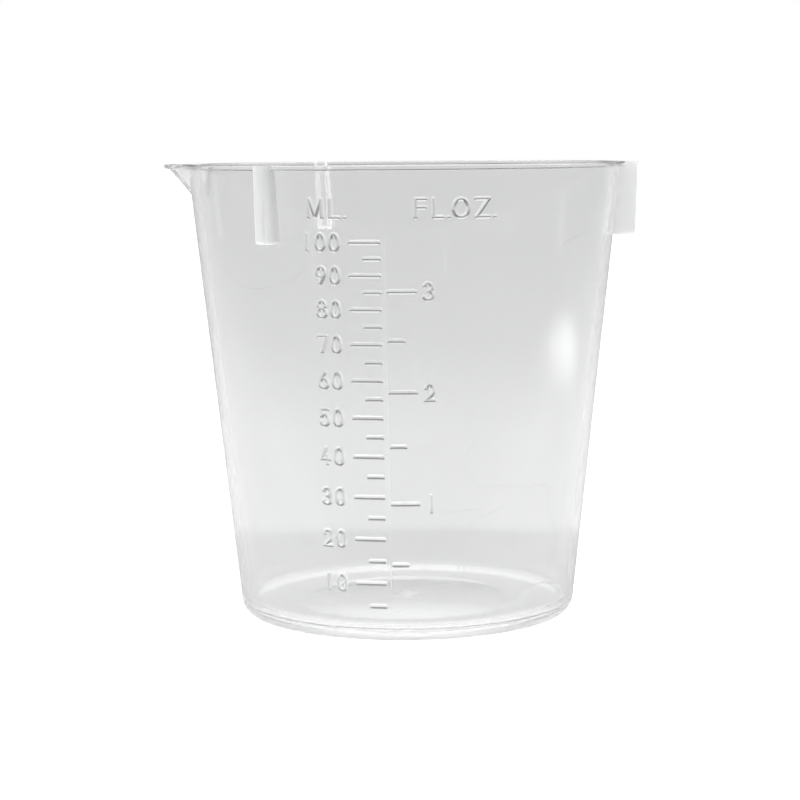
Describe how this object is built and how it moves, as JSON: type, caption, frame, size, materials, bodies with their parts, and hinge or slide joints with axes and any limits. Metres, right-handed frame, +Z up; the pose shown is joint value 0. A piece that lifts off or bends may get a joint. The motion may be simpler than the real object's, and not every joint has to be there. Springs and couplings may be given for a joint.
{
  "type": "resin mixing cup",
  "caption": "Clear tapered measuring cup with a pouring spout, a flanged rim, stacking lugs under the rim and raised millilitre and fluid ounce scales.",
  "frame": {"origin": "on the cup's axis, in the plane that the foot ring stands on", "axes": "+Z up along the cup's axis to the mouth, -X towards the pouring spout, -Y towards the measuring scales"},
  "size_m": [0.0662, 0.0614, 0.0628],
  "materials": {
    "clear_plastic": "clear colourless plastic, smooth and glossy, faintly streaked by the moulding"
  },
  "bodies": {
    "root": {"base_floor": "clear_plastic", "foot_ring": "clear_plastic", "side_wall": "clear_plastic", "pour_spout": "clear_plastic", "rim_flange": "clear_plastic", "lug_opposite_spout": "clear_plastic", "lug_rear": "clear_plastic", "lug_front": "clear_plastic", "ml_scale_marks": "clear_plastic", "ounce_scale_marks": "clear_plastic", "scale_datum_rib": "clear_plastic"}
  },
  "joints": []
}
